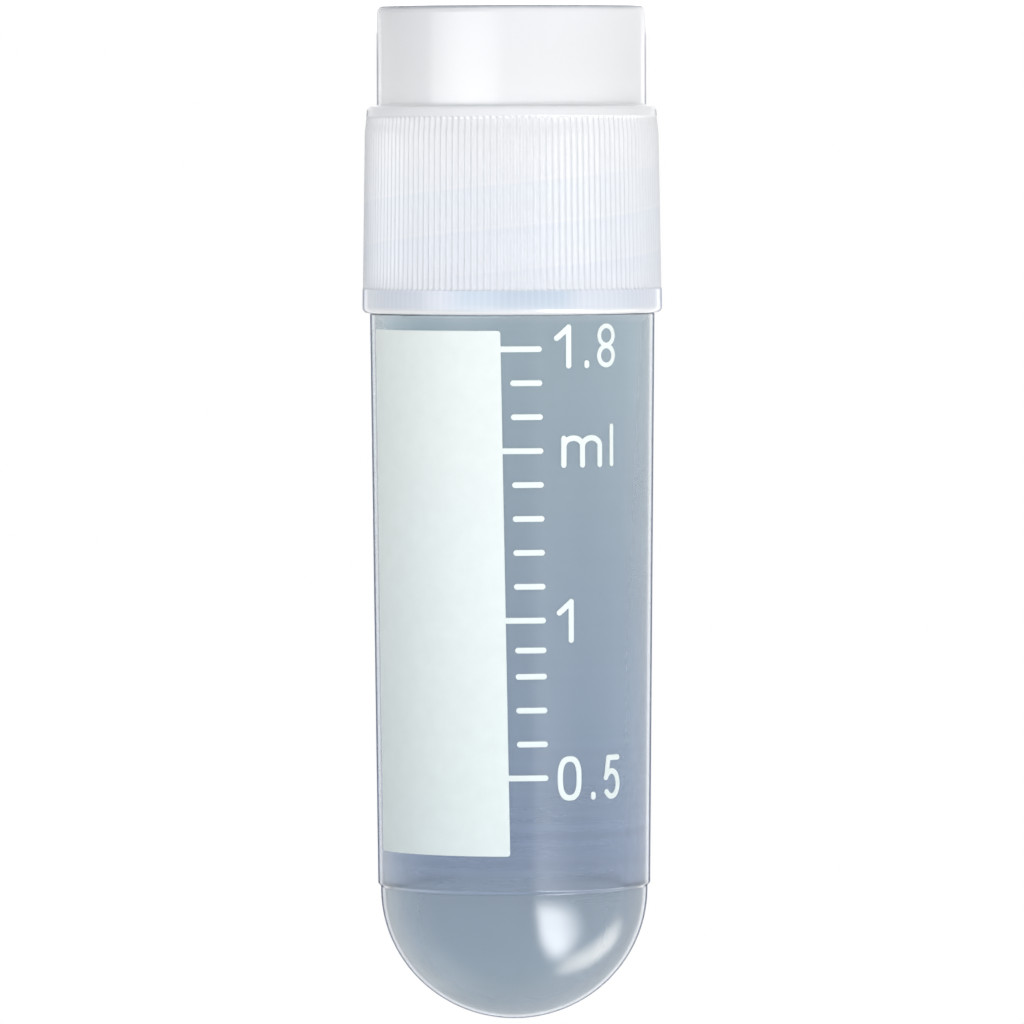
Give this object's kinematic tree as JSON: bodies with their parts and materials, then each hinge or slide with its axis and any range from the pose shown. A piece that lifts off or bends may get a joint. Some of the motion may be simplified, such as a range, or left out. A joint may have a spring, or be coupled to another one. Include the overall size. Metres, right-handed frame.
{
  "type": "cryogenic storage vial",
  "caption": "Round-bottom plastic freezer vial with a ribbed screw cap, a white writing panel and a volume scale on its tapered tube.",
  "frame": {"origin": "centre of the cap's flat top, which the vial stands on upside down", "axes": "+Z along the vial's axis from the cap's top to the round bottom, -Y out of the printed front, where the scale is"},
  "size_m": [0.0126, 0.0126, 0.0429],
  "materials": {
    "cap_plastic": "satin natural polypropylene, milky",
    "gasket_silicone": "soft translucent silicone",
    "tube_plastic": "smooth natural polypropylene, half clear",
    "white_ink": "matte screen-printed ink"
  },
  "bodies": {
    "cap": {"cap": "cap_plastic"},
    "gasket": {"sealing_gasket": "gasket_silicone"},
    "tube": {"vial_tube": "tube_plastic", "writing_panel": "white_ink", "volume_marks": "white_ink"}
  },
  "joints": [
    {"name": "tube_turn", "type": "hinge", "parent": "cap", "child": "gasket", "pos_m": [0, 0, 0.00514], "axis": [0, 0, 1], "range_deg": [0, 900.01]},
    {"name": "tube_rise", "type": "slide", "parent": "gasket", "child": "tube", "axis": [0, 0, 1], "range_m": [0, 0.00912]}
  ],
  "couplings": [
    {"joint": "tube_turn", "follows": "tube_rise", "rad_per_m": 1721.4}
  ]
}
